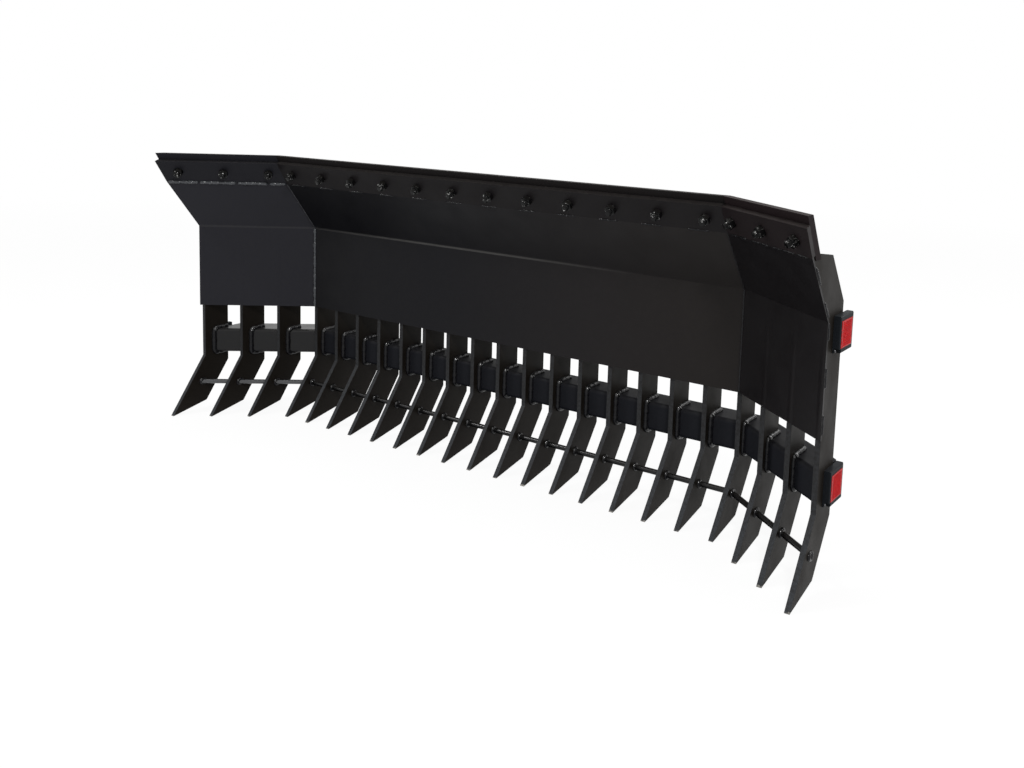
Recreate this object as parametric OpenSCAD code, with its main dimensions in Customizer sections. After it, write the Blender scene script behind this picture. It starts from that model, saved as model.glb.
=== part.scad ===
// Stick rake: a row of plate tines behind a three-panel mouldboard, with both ends angled forward.
// The origin is the centre of the hitch plate's rear face. +X is to the right, -Y is forward, +Z is up.
// Heights named *_h are measured up from the tips of the tines.

/* [Tines] */
// Clear space between neighbouring tines
tine_gap = 78; // [68:1:98]
// Thickness of a tine
tine_t = 12; // [8:1:16]
// Width of a tine, from its front edge to its back edge
tine_depth = 84; // [80:1:100]
// How far the tips reach in front of the mouldboard
tip_reach = 119; // [90:1:150]
// Height of the knee, where the lower part starts to slant forward
knee_h = 169; // [150:1:190]
// Height of the heel behind the tip
heel_h = 25; // [15:1:40]
// How far a tine's top back corner lies below the mouldboard's top edge
tine_top_drop = 6; // [4:1:20]
// How much higher a tine's top is at the blade than at its back corner
tine_top_fall = 12; // [1:1:16]

/* [Mouldboard] */
// Thickness of the mouldboard plate
board_t = 5; // [4:0.5:8]
// Height of its bottom edge above the crossbar
board_lift = 81; // [60:1:100]
// Height of its upright part, up to the bend
board_upright = 250; // [220:1:280]
// Height of its leaning part, from the bend to its top edge
board_rise = 144; // [120:1:170]
// How far its top edge leans forward
board_reach = 114; // [90:1:130]
// How far it runs past the outer face of each end tine
board_overhang = 2; // [1:1:15]
// How far each wing is turned forward, in degrees
wing_angle = 38.5; // [20:0.5:42]

/* [Top bar and blade] */
// Height that the mounting bar takes up
bar_rise = 63; // [55:1:75]
// Thickness of the mounting bar
bar_t = 12; // [10:1:16]
// Lean of the mounting bar, in degrees
bar_lean = 32.4; // [28:0.2:36]
// Thickness of the blade behind the bar
blade_t = 20; // [16:1:25]
// How far the blade stands above the bar's front edge
blade_above_bar = 24; // [16:1:40]

/* [Blade bolts] */
// Diameter of a blade bolt
bolt_d = 16; // [12:1:18]
// Radial room around a bolt in its hole
bolt_fit = 0.5; // [0.3:0.1:0.8]
// Radial room at a screwed or seated surface
seat_fit = 0.2; // [0.1:0.05:0.3]
// Width of a nut across its flats
nut_af = 24; // [22:1:27]
// Thickness of a nut
nut_h = 13; // [10:1:15]
// Length of thread that shows past a nut
stud_past = 10; // [5:1:15]
// Diameter of a bolt's countersunk head
head_d = 30; // [26:1:34]
// Depth of a bolt's countersunk head
head_h = 9; // [7:1:11]
// Distance from a fold to the nearest bolt of the centre row
centre_bolt_edge = 46; // [35:1:60]
// Distance from a fold to the nearest bolt of a wing, measured across the rake
wing_bolt_edge = 31; // [28:1:40]
// Distance from the end of a wing to its last bolt, measured across the rake
wing_bolt_end = 45; // [30:1:60]

/* [Crossbar] */
// Height of the crossbar tube
tube_height = 75; // [65:1:80]
// Depth of the crossbar tube from front to back
tube_depth = 90; // [75:1:100]
// Wall of the crossbar tube
tube_wall = 5; // [4:0.5:6]
// Outer corner radius of the crossbar tube
tube_round = 10; // [8:1:12]
// Height of the crossbar's underside above the knees
tube_lift = 5; // [4:1:20]
// Distance from the mouldboard's front face back to the crossbar
tube_setback = 30; // [25:1:40]

/* [Tie bar] */
// Diameter of the round tie bar
tie_d = 14; // [12:1:20]
// Height of the tie bar
tie_h = 88; // [80:1:95]
// How far the tie bar lies in front of the mouldboard
tie_lead = 15; // [5:1:20]
// Radial room around the tie bar in the tines
tie_fit = 0.25; // [0.1:0.05:0.3]

/* [Lamps] */
// Side of a square lamp housing
lamp_side = 79; // [66:1:84]
// How far a lamp housing stands out
lamp_out = 15; // [12:1:24]
// Width of the housing's rim around the square red lens
lens_rim = 12; // [11:0.5:16]
// Depth of the pocket that holds the lens
lens_pocket = 8; // [5:1:10]
// How far the lens stands out of its pocket
lens_proud = 1; // [0.5:0.5:3]
// Radial room around the lens in its pocket
lens_fit = 0.2; // [0.1:0.05:0.3]
// Bevel around a housing's front
lamp_bevel = 2; // [1:0.5:4]
// Thickness of the housing's foot under its screw
lamp_foot = 4; // [3:0.5:5]
// Distance from the mouldboard's front face back to the lamps
lamp_setback = 36; // [34:1:48]
// Height of the lower lamp's underside above the crossbar's
lower_lamp_lift = 2; // [2:1:16]
// Distance from the mouldboard's bend down to the upper lamp's underside
upper_lamp_drop = 72; // [70:1:100]
// Diameter of a lamp screw's shank
screw_d = 4; // [3:0.5:5]
// Diameter of a lamp screw's head
screw_head_d = 7; // [5:0.5:7.5]
// Thickness of a lamp screw's head
screw_head_h = 3; // [2:0.5:4]

/* [Hitch] */
// Thickness of the hitch plate
hitch_t = 10; // [8:0.5:12]
// Height of the hitch plate's bottom edge above the mouldboard's
hitch_lift = 20; // [15:1:40]
// Height of the hitch plate's top edge above the mouldboard's
hitch_rise = 16; // [10:1:25]
// How far the hooked lip and its slope reach back
lip_reach = 35; // [25:1:45]
// Depth of the latch ledge
ledge_depth = 70; // [60:1:80]
// Thickness of the latch ledge
ledge_t = 12; // [10:1:16]
// Distance between the two latch slots
slot_spacing = 1028; // [1000:1:1100]
// Distance from a latch slot's middle to the end of the hitch plate
slot_inset = 57.5; // [40:0.5:80]
// Length of a latch slot
slot_length = 44; // [36:1:48]
// Width of a latch slot
slot_width = 25; // [20:1:28]

/* [Hidden] */
$fn = 64;
centre_spaces = 16;
wing_spaces = 3;
centre_bolts = 12;
wing_bolts = 3;
hex_sides = 6;
inner_gusset_share = 1 / 3;
screw_inset_share = 0.7;

tine_count = centre_spaces + 2 * wing_spaces + 1;
tine_pitch = tine_gap + tine_t;
fold_place = centre_spaces / 2;
end_place = fold_place + wing_spaces;
fold_x = fold_place * tine_pitch;
end_x = end_place * tine_pitch + tine_t / 2;
board_end_x = end_x + board_overhang;
tube_h = knee_h + tube_lift;
board_bottom_h = tube_h + tube_height + board_lift;
board_bend_h = board_bottom_h + board_upright;
board_top_h = board_bend_h + board_rise;
tine_top_h = board_top_h - tine_top_drop;
blade_top_h = board_top_h + bar_rise + blade_above_bar;
lower_lamp_h = tube_h + lower_lamp_lift;
upper_lamp_h = board_bend_h - upper_lamp_drop;
hitch_bottom_h = board_bottom_h + hitch_lift;
hitch_top_h = board_top_h + hitch_rise;
lens_side = lamp_side - 2 * lens_rim;
hitch_w = slot_spacing + 2 * slot_inset;
wing_sweep = tan(wing_angle);
wing_share = cos(wing_angle);
tube_mitre = tan(wing_angle / 2);
wing_bar_lean = lean_in(bar_lean, wing_share);
seam_turn = acos(cos(bar_lean) * cos(wing_bar_lean) * wing_share + sin(bar_lean) * sin(wing_bar_lean));
bar_mitre = tan(seam_turn / 2);
board_lean = atan(board_reach / board_rise);
tine_slant = atan((tip_reach + board_t) / knee_h);
tine_back_y = board_t + tine_depth;
end_sweep_y = -(end_place - fold_place) * tine_pitch * wing_sweep;
hitch_face_y = tine_back_y + hitch_t;
hitch_mid_h = (hitch_bottom_h + hitch_top_h) / 2;
bolt_r = bolt_d / 2;
bolt_hole_r = bolt_r + bolt_fit;
grip = bar_t + blade_t;
reach_past_all = board_end_x + board_top_h;
screw_inset = screw_head_d * screw_inset_share;
screw_notch = 2 * screw_inset;
outer_gusset = floor((hitch_w - tine_t) / 2 / tine_pitch);
inner_gusset = round(outer_gusset * inner_gusset_share);

function two_digits(i) = i < 10 ? str("0", i) : str(i);
function tine_name(i) = str("tine_", two_digits(i));

// Directions in a cross-section, as [backward, upward], for a plate that leans forward by an angle
function up_along(lean) = [-sin(lean), cos(lean)];
function back_through(lean) = [cos(lean), sin(lean)];
// A wing is cut square to its length, so its section is narrower than the one across the rake
function lean_in(lean, share) = atan(tan(lean) * share);

// Cross-sections. share is 1 for the centre and wing_share for a wing.
function board_top_front(share) = [-board_reach * share, board_top_h];
function board_top_back(share) =
    let (bar = lean_in(bar_lean, share), turn = lean_in(board_lean, share) - bar)
    board_top_front(share) + board_t / cos(turn) * back_through(bar);
function board_bend_back(share) =
    [board_t, board_bend_h + board_t * tan(lean_in(board_lean, share) / 2)];
function bar_foot_back(share) =
    board_top_front(share) + bar_t * back_through(lean_in(bar_lean, share));

function board_section(share) = [
    [0, board_bottom_h],
    [board_t, board_bottom_h],
    board_bend_back(share),
    board_top_back(share),
    board_top_front(share),
    [0, board_bend_h]
];

function bar_section(share) =
    let (lean = lean_in(bar_lean, share), start = board_top_front(share))
    let (rise = bar_rise / cos(lean) * up_along(lean), through = bar_t * back_through(lean))
    [start, start + through, start + through + rise, start + rise];

// The blade lies on the bar's back. It stands on the tines, and its foot and top are cut level.
function blade_foot_front(share) =
    let (lean = lean_in(bar_lean, share), down = bar_foot_back(share)[1] - tine_top_h)
    bar_foot_back(share) + down * [tan(lean), -1];

function blade_foot_back(share) =
    blade_foot_front(share) + [blade_t / cos(lean_in(bar_lean, share)), 0];

function blade_back_at(height, share) =
    blade_foot_back(share) + (height - tine_top_h) * [-tan(lean_in(bar_lean, share)), 1];

function blade_section(share) =
    let (through = blade_foot_back(share) - blade_foot_front(share), top = blade_back_at(blade_top_h, share))
    [blade_foot_front(share), blade_foot_back(share), top, top - through];

// Everything in front of the surfaces that the tines are welded to
function space_in_front(share) =
    let (past_top = blade_back_at(reach_past_all, share))
    [
        [board_t, board_bottom_h],
        board_bend_back(share),
        board_top_back(share),
        bar_foot_back(share),
        blade_foot_front(share),
        blade_foot_back(share),
        past_top,
        [-reach_past_all, past_top[1]],
        [-reach_past_all, board_bottom_h]
    ];

// Side view of a tine whose front edge lies front_y behind the mouldboard's front face
function tine_outline(front_y) = [
    [-tip_reach, 0],
    [
        board_t + tine_depth * cos(tine_slant)
        - (knee_h - tine_depth * sin(tine_slant) - heel_h) * tan(tine_slant),
        heel_h
    ],
    [tine_back_y, knee_h - tine_depth * tan(tine_slant / 2)],
    [tine_back_y, board_bend_h + tine_back_y * tan(board_lean / 2)],
    [tine_top_back_y, tine_top_h],
    blade_back_at(tine_top_h + tine_top_fall, 1),
    front_y < board_t ? [blade_foot_front(1)[0], tine_top_h + tine_top_fall] : blade_foot_back(1),
    blade_foot_front(1),
    bar_foot_back(1),
    front_y < board_t ? board_top_front(1) : board_top_back(1),
    [front_y, board_bend_h + front_y * tan(board_lean / 2)],
    [front_y, knee_h]
];
tine_top_back_y =
    tine_back_y - (tine_top_h - board_bend_h - tine_back_y * tan(board_lean / 2)) * tan(board_lean);
wing_tine_front_y = board_t / wing_share - tine_t / 2 * wing_sweep;

module at_hitch() {
    translate([0, -hitch_face_y, -hitch_mid_h]) children();
}

module mirrored_if(left) {
    if (left) mirror([1, 0, 0]) children();
    else children();
}

// Plan outlines that end a run of material: the centre between the folds, and a wing out to x_end.
// The cut at a fold passes through [fold_x, seam_y] and widens backward by the mitre.
module centre_plan(seam_y, mitre) {
    rear_y = reach_past_all;
    rear_x = fold_x + (rear_y - seam_y) * mitre;
    front_x = fold_x - (rear_y + seam_y) * mitre;
    linear_extrude(height = reach_past_all)
        polygon([[-front_x, -rear_y], [front_x, -rear_y], [rear_x, rear_y], [-rear_x, rear_y]]);
}

module wing_plan(seam_y, mitre, x_end) {
    rear_y = reach_past_all;
    rear_x = min(x_end, fold_x + (rear_y - seam_y) * mitre);
    corner_y = mitre > 0 ? min(rear_y, seam_y + (x_end - fold_x) / mitre) : rear_y;
    front_x = fold_x - (rear_y + seam_y) * mitre;
    linear_extrude(height = reach_past_all)
        polygon([[front_x, -rear_y], [x_end, -rear_y], [x_end, corner_y], [rear_x, corner_y]]);
}

// A section drawn as [backward, upward] and run along X, then cut to the centre's plan
module centre_run(seam_y, mitre) {
    intersection() {
        through_centre() translate([seam_y, 0]) children();
        centre_plan(seam_y, mitre);
    }
}

// The same section run along a wing through [fold_x, seam_y], then cut to the wing's plan
module wing_run(seam_y, mitre, x_end) {
    intersection() {
        through_wing(seam_y) children();
        wing_plan(seam_y, mitre, x_end);
    }
}

// The bar and the blade meet at a fold in a seam that leans with them
module in_bar_frame() {
    translate([0, board_top_front(1)[0], board_top_h])
        rotate([bar_lean, 0, 0]) translate([0, 0, -reach_past_all / 2]) children();
}

module centre_bar_run() {
    intersection() {
        through_centre() children();
        in_bar_frame() centre_plan(0, bar_mitre);
    }
}

module wing_bar_run() {
    intersection() {
        through_wing(0) children();
        in_bar_frame() wing_plan(0, bar_mitre, board_end_x);
    }
}

// The same runs with no cut at the fold, for passages through the tines
module through_centre() {
    rotate([90, 0, 90])
        linear_extrude(height = 2 * reach_past_all, center = true) children();
}

module through_wing(seam_y) {
    translate([fold_x, seam_y, 0])
        rotate([0, 0, -wing_angle])
            rotate([90, 0, 90])
                linear_extrude(height = 2 * reach_past_all, center = true) children();
}

module tube_outline(shrink) {
    translate([shrink, tube_h + shrink])
        rounded_outline(tube_depth - 2 * shrink, tube_height - 2 * shrink, tube_round - shrink);
}

module rounded_outline(width, height, round) {
    translate([round, 0]) square([width - 2 * round, height]);
    translate([0, round]) square([width, height - 2 * round]);
    for (y = [round, width - round], z = [round, height - round])
        translate([y, z]) circle(r = round);
}

module tube_ring() {
    difference() {
        tube_outline(0);
        tube_outline(tube_wall);
    }
}

module tie_outline(room) {
    translate([0, tie_h]) circle(r = tie_d / 2 + room);
}

// Passages through the tines at the folds are longer to the front, where the wings' runs come in
module fold_tube_passage() {
    longer = tine_t / 2 * wing_sweep;
    translate([tube_setback - longer, tube_h])
        rounded_outline(tube_depth + longer, tube_height, tube_round);
}

module fold_tie_passage() {
    round = tie_d / 2 + tie_fit;
    longer = tine_t / 2 * wing_sweep + round * (1 / wing_share - 1);
    translate([-tie_lead - longer, tie_h - round]) square([longer, 2 * round]);
    for (y = [-tie_lead - longer, -tie_lead]) translate([y, tie_h]) circle(r = round);
}

module tine_plate(front_y) {
    rotate([90, 0, 90])
        linear_extrude(height = tine_t, center = true) polygon(tine_outline(front_y));
}

// place counts tines outward from the middle of the rake
module right_tine(place) {
    out = max(0, place - fold_place);
    difference() {
        translate([place * tine_pitch, -out * tine_pitch * wing_sweep, 0])
            tine_plate(out > 0 ? wing_tine_front_y : board_t);
        if (place < fold_place) {
            through_centre() translate([tube_setback, 0]) tube_outline(0);
            through_centre() translate([-tie_lead, 0]) tie_outline(tie_fit);
        }
        if (place == fold_place) {
            through_centre() fold_tube_passage();
            through_centre() fold_tie_passage();
        }
        if (place > fold_place) through_wing(-tie_lead) tie_outline(tie_fit);
        if (place > fold_place && place < end_place) through_wing(tube_setback) tube_outline(0);
        if (place >= fold_place)
            wing_run(0, 0, reach_past_all) polygon(space_in_front(wing_share));
        if (place == end_place) at_lamp_screws() screw_cut();
    }
}

module tine(place) {
    color([0.13, 0.13, 0.14])
        at_hitch() mirrored_if(place < 0) right_tine(abs(place));
}

module centre_mouldboard() {
    color([0.15, 0.15, 0.16])
        at_hitch() centre_run(0, 0) polygon(board_section(1));
}

module wing_mouldboard(left) {
    color([0.15, 0.15, 0.16])
        at_hitch() mirrored_if(left) wing_run(0, 0, board_end_x) polygon(board_section(wing_share));
}

// Places along the centre row, and across the rake from a fold for a wing row
centre_bolt_x = [
    for (i = [0:centre_bolts - 1])
        (fold_x - centre_bolt_edge) * (2 * i / (centre_bolts - 1) - 1)
];
wing_bolt_x = [
    for (i = [0:wing_bolts - 1])
        wing_bolt_edge + i * (board_end_x - fold_x - wing_bolt_edge - wing_bolt_end) / (wing_bolts - 1)
];

// Bolt axes start on the bar's front face, at mid height, and point forward out of it
function bolt_seat(share) =
    board_top_front(share)
    + bar_rise / 2 / cos(lean_in(bar_lean, share)) * up_along(lean_in(bar_lean, share));

module at_centre_bolts() {
    seat = bolt_seat(1);
    for (x = centre_bolt_x)
        translate([x, seat[0], seat[1]]) rotate([90 + bar_lean, 0, 0]) children();
}

module at_wing_bolts() {
    seat = bolt_seat(wing_share);
    for (x = wing_bolt_x)
        translate([fold_x, 0, 0])
            rotate([0, 0, -wing_angle])
                translate([(x - seat[0] * sin(wing_angle)) / wing_share, seat[0], seat[1]])
                    rotate([90 + lean_in(bar_lean, wing_share), 0, 0]) children();
}

module bolt_body(room) {
    translate([0, 0, -grip]) {
        cylinder(r = bolt_r + room, h = grip + nut_h + stud_past);
        cylinder(r1 = head_d / 2 + room, r2 = bolt_r + room, h = head_h);
    }
}

module bolt_cut() {
    translate([0, 0, -grip - head_h]) cylinder(r = bolt_hole_r, h = 2 * (grip + head_h));
    translate([0, 0, -grip]) cylinder(r1 = head_d / 2 + seat_fit, r2 = bolt_r + seat_fit, h = head_h);
}

module centre_mounting_bar() {
    color([0.16, 0.16, 0.17])
        at_hitch() difference() {
            centre_bar_run() polygon(bar_section(1));
            at_centre_bolts() bolt_cut();
        }
}

module wing_mounting_bar(left) {
    color([0.16, 0.16, 0.17])
        at_hitch() mirrored_if(left) difference() {
            wing_bar_run() polygon(bar_section(wing_share));
            at_wing_bolts() bolt_cut();
        }
}

module centre_blade() {
    color([0.2, 0.2, 0.21])
        at_hitch() difference() {
            centre_bar_run() polygon(blade_section(1));
            at_centre_bolts() bolt_cut();
        }
}

module wing_blade(left) {
    color([0.2, 0.2, 0.21])
        at_hitch() mirrored_if(left) difference() {
            wing_bar_run() polygon(blade_section(wing_share));
            at_wing_bolts() bolt_cut();
        }
}

module at_all_bolts() {
    at_centre_bolts() children();
    at_wing_bolts() children();
    mirror([1, 0, 0]) at_wing_bolts() children();
}

module blade_bolts() {
    color([0.55, 0.55, 0.55])
        at_hitch() at_all_bolts() bolt_body(0);
}

module hex_nut() {
    difference() {
        cylinder(r = nut_af / 2 / cos(180 / hex_sides), h = nut_h, $fn = hex_sides);
        translate([0, 0, -nut_h]) cylinder(r = bolt_r + seat_fit, h = 3 * nut_h);
    }
}

module blade_nuts() {
    color([0.6, 0.6, 0.6])
        at_hitch() at_all_bolts() hex_nut();
}

module centre_crossbar() {
    color([0.14, 0.14, 0.15])
        at_hitch() centre_run(tube_setback, tube_mitre) tube_ring();
}

module wing_crossbar(left) {
    color([0.14, 0.14, 0.15])
        at_hitch() mirrored_if(left) wing_run(tube_setback, tube_mitre, end_x - tine_t) tube_ring();
}

module centre_tie_bar() {
    color([0.17, 0.17, 0.18])
        at_hitch() centre_run(-tie_lead, tube_mitre) tie_outline(0);
}

module wing_tie_bar(left) {
    color([0.17, 0.17, 0.18])
        at_hitch() mirrored_if(left) wing_run(-tie_lead, tube_mitre, end_x) tie_outline(0);
}

// A lamp's own frame: it lies on x = 0, faces +X and has its lower front corner at y = 0, z = 0
module at_lamps() {
    for (h = [lower_lamp_h, upper_lamp_h])
        translate([end_x, end_sweep_y + lamp_setback, h]) children();
}

module at_lamp_screws() {
    at_lamps()
        translate([0, screw_inset, screw_inset]) rotate([0, 90, 0]) children();
}

module bevelled_outline() {
    polygon([
        [0, 0],
        [lamp_out - lamp_bevel, 0],
        [lamp_out, lamp_bevel],
        [lamp_out, lamp_side - lamp_bevel],
        [lamp_out - lamp_bevel, lamp_side],
        [0, lamp_side]
    ]);
}

module lamp_housing() {
    lens_edge = lens_rim - lens_fit;
    pocket_side = lens_side + 2 * lens_fit;
    difference() {
        intersection() {
            linear_extrude(height = lamp_side) bevelled_outline();
            translate([0, lamp_side, 0])
                rotate([90, 0, 0]) linear_extrude(height = lamp_side) bevelled_outline();
        }
        translate([lamp_out - lens_pocket, lens_edge, lens_edge])
            cube([2 * lens_pocket, pocket_side, pocket_side]);
        translate([lamp_foot, -screw_notch, -screw_notch])
            cube([lamp_out, 2 * screw_notch, 2 * screw_notch]);
        translate([0, screw_inset, screw_inset])
            rotate([0, 90, 0]) translate([0, 0, -lamp_foot])
                cylinder(d = screw_d + 2 * seat_fit, h = 3 * lamp_foot);
    }
}

module lamp_lens() {
    translate([lamp_out - lens_pocket, lens_rim, lens_rim])
        cube([lens_pocket + lens_proud, lens_side, lens_side]);
}

module screw_cut() {
    translate([0, 0, -2 * tine_t]) cylinder(d = screw_d + 2 * seat_fit, h = 3 * tine_t);
}

module lamp_screw() {
    translate([0, 0, -tine_t]) cylinder(d = screw_d, h = tine_t + lamp_foot);
    translate([0, 0, lamp_foot]) cylinder(d = screw_head_d, h = screw_head_h);
}

module lamp_housings(left) {
    color([0.1, 0.11, 0.12])
        at_hitch() mirrored_if(left) at_lamps() lamp_housing();
}

module lamp_lenses(left) {
    color([0.72, 0.18, 0.19])
        at_hitch() mirrored_if(left) at_lamps() lamp_lens();
}

module lamp_screws() {
    color([0.65, 0.65, 0.66])
        at_hitch() for (left = [false, true]) mirrored_if(left) at_lamp_screws() lamp_screw();
}

module hitch_plate() {
    color([0.15, 0.15, 0.16])
        at_hitch() translate([-hitch_w / 2, tine_back_y, hitch_bottom_h])
            cube([hitch_w, hitch_t, hitch_top_h - hitch_bottom_h]);
}

module hitch_lip() {
    color([0.16, 0.16, 0.17])
        at_hitch() rotate([90, 0, 90])
            linear_extrude(height = hitch_w, center = true) polygon([
                [tine_back_y, hitch_top_h],
                [hitch_face_y, hitch_top_h],
                [hitch_face_y + lip_reach, hitch_top_h + lip_reach],
                [tine_back_y + lip_reach, hitch_top_h + lip_reach]
            ]);
}

module slot_outline() {
    straight = slot_length - slot_width;
    square([straight, slot_width], center = true);
    for (x = [-straight / 2, straight / 2]) translate([x, 0]) circle(d = slot_width);
}

// The ledge lies under the plate's bottom edge, so that the plate's rear face stays clear
module hitch_ledge() {
    color([0.16, 0.16, 0.17])
        at_hitch() translate([0, hitch_face_y, hitch_bottom_h - ledge_t])
            linear_extrude(height = ledge_t) difference() {
                translate([-hitch_w / 2, -hitch_t]) square([hitch_w, hitch_t + ledge_depth]);
                for (x = [-slot_spacing / 2, slot_spacing / 2])
                    translate([x, ledge_depth / 2]) slot_outline();
            }
}

// Gussets fill the angle between the leaning tops of four tines and the upright plate
module hitch_gussets() {
    color([0.15, 0.15, 0.16])
        at_hitch() for (place = [-outer_gusset, -inner_gusset, inner_gusset, outer_gusset])
            translate([place * tine_pitch, 0, 0])
                rotate([90, 0, 90]) linear_extrude(height = tine_t, center = true) polygon([
                    [tine_back_y, board_bend_h + tine_back_y * tan(board_lean / 2)],
                    [tine_back_y, tine_top_h],
                    [tine_top_back_y, tine_top_h]
                ]);
}

for (i = [1:tine_count])
    tine(i - end_place - 1);
centre_mouldboard();
wing_mouldboard(false);  // right_mouldboard
wing_mouldboard(true);  // left_mouldboard
centre_mounting_bar();
wing_mounting_bar(false);  // right_mounting_bar
wing_mounting_bar(true);  // left_mounting_bar
centre_blade();
wing_blade(false);  // right_blade
wing_blade(true);  // left_blade
blade_bolts();
blade_nuts();
centre_crossbar();
wing_crossbar(false);  // right_crossbar
wing_crossbar(true);  // left_crossbar
centre_tie_bar();
wing_tie_bar(false);  // right_tie_bar
wing_tie_bar(true);  // left_tie_bar
lamp_housings(false);  // right_lamp_housings
lamp_housings(true);  // left_lamp_housings
lamp_lenses(false);  // right_lamp_lenses
lamp_lenses(true);  // left_lamp_lenses
lamp_screws();
hitch_plate();
hitch_lip();
hitch_ledge();
hitch_gussets();
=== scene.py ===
"""Stick rake for a loader: 23 plate tines behind a bent mouldboard whose two ends are turned forward.

All lengths are in metres in the CAD frame: the origin is the middle of the hitch plate's rear face, +X is
to the right, -Y is forward and +Z is up. mm() turns millimetres to metres. Sections are measured as the
maker would: back is the distance behind the mouldboard's front face, and height starts at the tines' tips.
"""

import math
import random

import bpy
from mathutils import Matrix, Vector


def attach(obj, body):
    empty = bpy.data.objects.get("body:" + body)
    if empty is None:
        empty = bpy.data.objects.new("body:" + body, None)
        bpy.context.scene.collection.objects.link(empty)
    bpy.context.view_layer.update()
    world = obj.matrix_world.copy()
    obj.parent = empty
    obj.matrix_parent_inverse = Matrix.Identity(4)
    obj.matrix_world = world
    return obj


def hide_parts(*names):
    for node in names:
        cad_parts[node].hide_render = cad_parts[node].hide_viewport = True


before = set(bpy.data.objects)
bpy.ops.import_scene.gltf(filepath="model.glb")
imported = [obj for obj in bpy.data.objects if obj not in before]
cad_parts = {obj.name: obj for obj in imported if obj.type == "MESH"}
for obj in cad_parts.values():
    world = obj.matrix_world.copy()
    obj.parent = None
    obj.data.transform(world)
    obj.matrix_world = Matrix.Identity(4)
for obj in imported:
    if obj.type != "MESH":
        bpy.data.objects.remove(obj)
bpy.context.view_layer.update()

# Tines
#
# Each tine is one 12 mm plate, flame cut to a dog-leg that ends in a point, and sprayed with black enamel.
# The middle 17 stand square behind the mouldboard. Three more follow the turned-forward wing at each end.

CENTRE_SPACES = 16
WING_SPACES = 3
TINE_PITCH = 0.090
TINE_THICKNESS = 0.012
WING_ANGLE = math.radians(38.5)
FOLD_X = CENTRE_SPACES / 2 * TINE_PITCH
MOULDBOARD_TO_HITCH = 0.099
TIPS_TO_HITCH = 0.545
TINE_BACK = 0.089
KNEE_HEIGHT = 0.169

spaces_to_end = CENTRE_SPACES // 2 + WING_SPACES
tine_xs = [i * TINE_PITCH for i in range(-spaces_to_end, spaces_to_end + 1)]
END_TINE = tine_xs[-1]


def mm(length):
    return length / 1000


def place(x, back, height):
    """The point at x across the rake, in a section that moves forward beyond the folds."""
    sweep = max(0.0, abs(x) - FOLD_X) * math.tan(WING_ANGLE)
    return Vector((x, back - sweep - MOULDBOARD_TO_HITCH, height - TIPS_TO_HITCH))


def linear(hex_colour):
    """An sRGB hex colour as the linear RGBA that Blender's sockets take."""
    parts = [int(hex_colour[i:i + 2], 16) / 255 for i in (1, 3, 5)]
    return [p / 12.92 if p <= 0.04045 else ((p + 0.055) / 1.055) ** 2.4 for p in parts] + [1.0]


def add_node(tree, kind, settings=None, links=None):
    """Adds a node. Settings fill its properties and sockets, and links feed its sockets.

    A socket goes by its name, or by its number where names repeat: a colour Mix takes its two colours at 6
    and 7, and gives their blend at output 2.
    """
    made = tree.nodes.new(kind)
    for key, value in (settings or {}).items():
        if isinstance(key, int) or key in made.inputs:
            made.inputs[key].default_value = value
        else:
            setattr(made, key, value)
    for key, source in (links or {}).items():
        tree.links.new(source, made.inputs[key])
    return made


def new_material(name):
    """A node material, with its tree, its shader and the place on the object that patterns follow."""
    material = bpy.data.materials.new(name)
    material.use_nodes = True
    tree = material.node_tree
    where = add_node(tree, "ShaderNodeTexCoord").outputs["Object"]
    return material, tree, tree.nodes["Principled BSDF"], where


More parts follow.
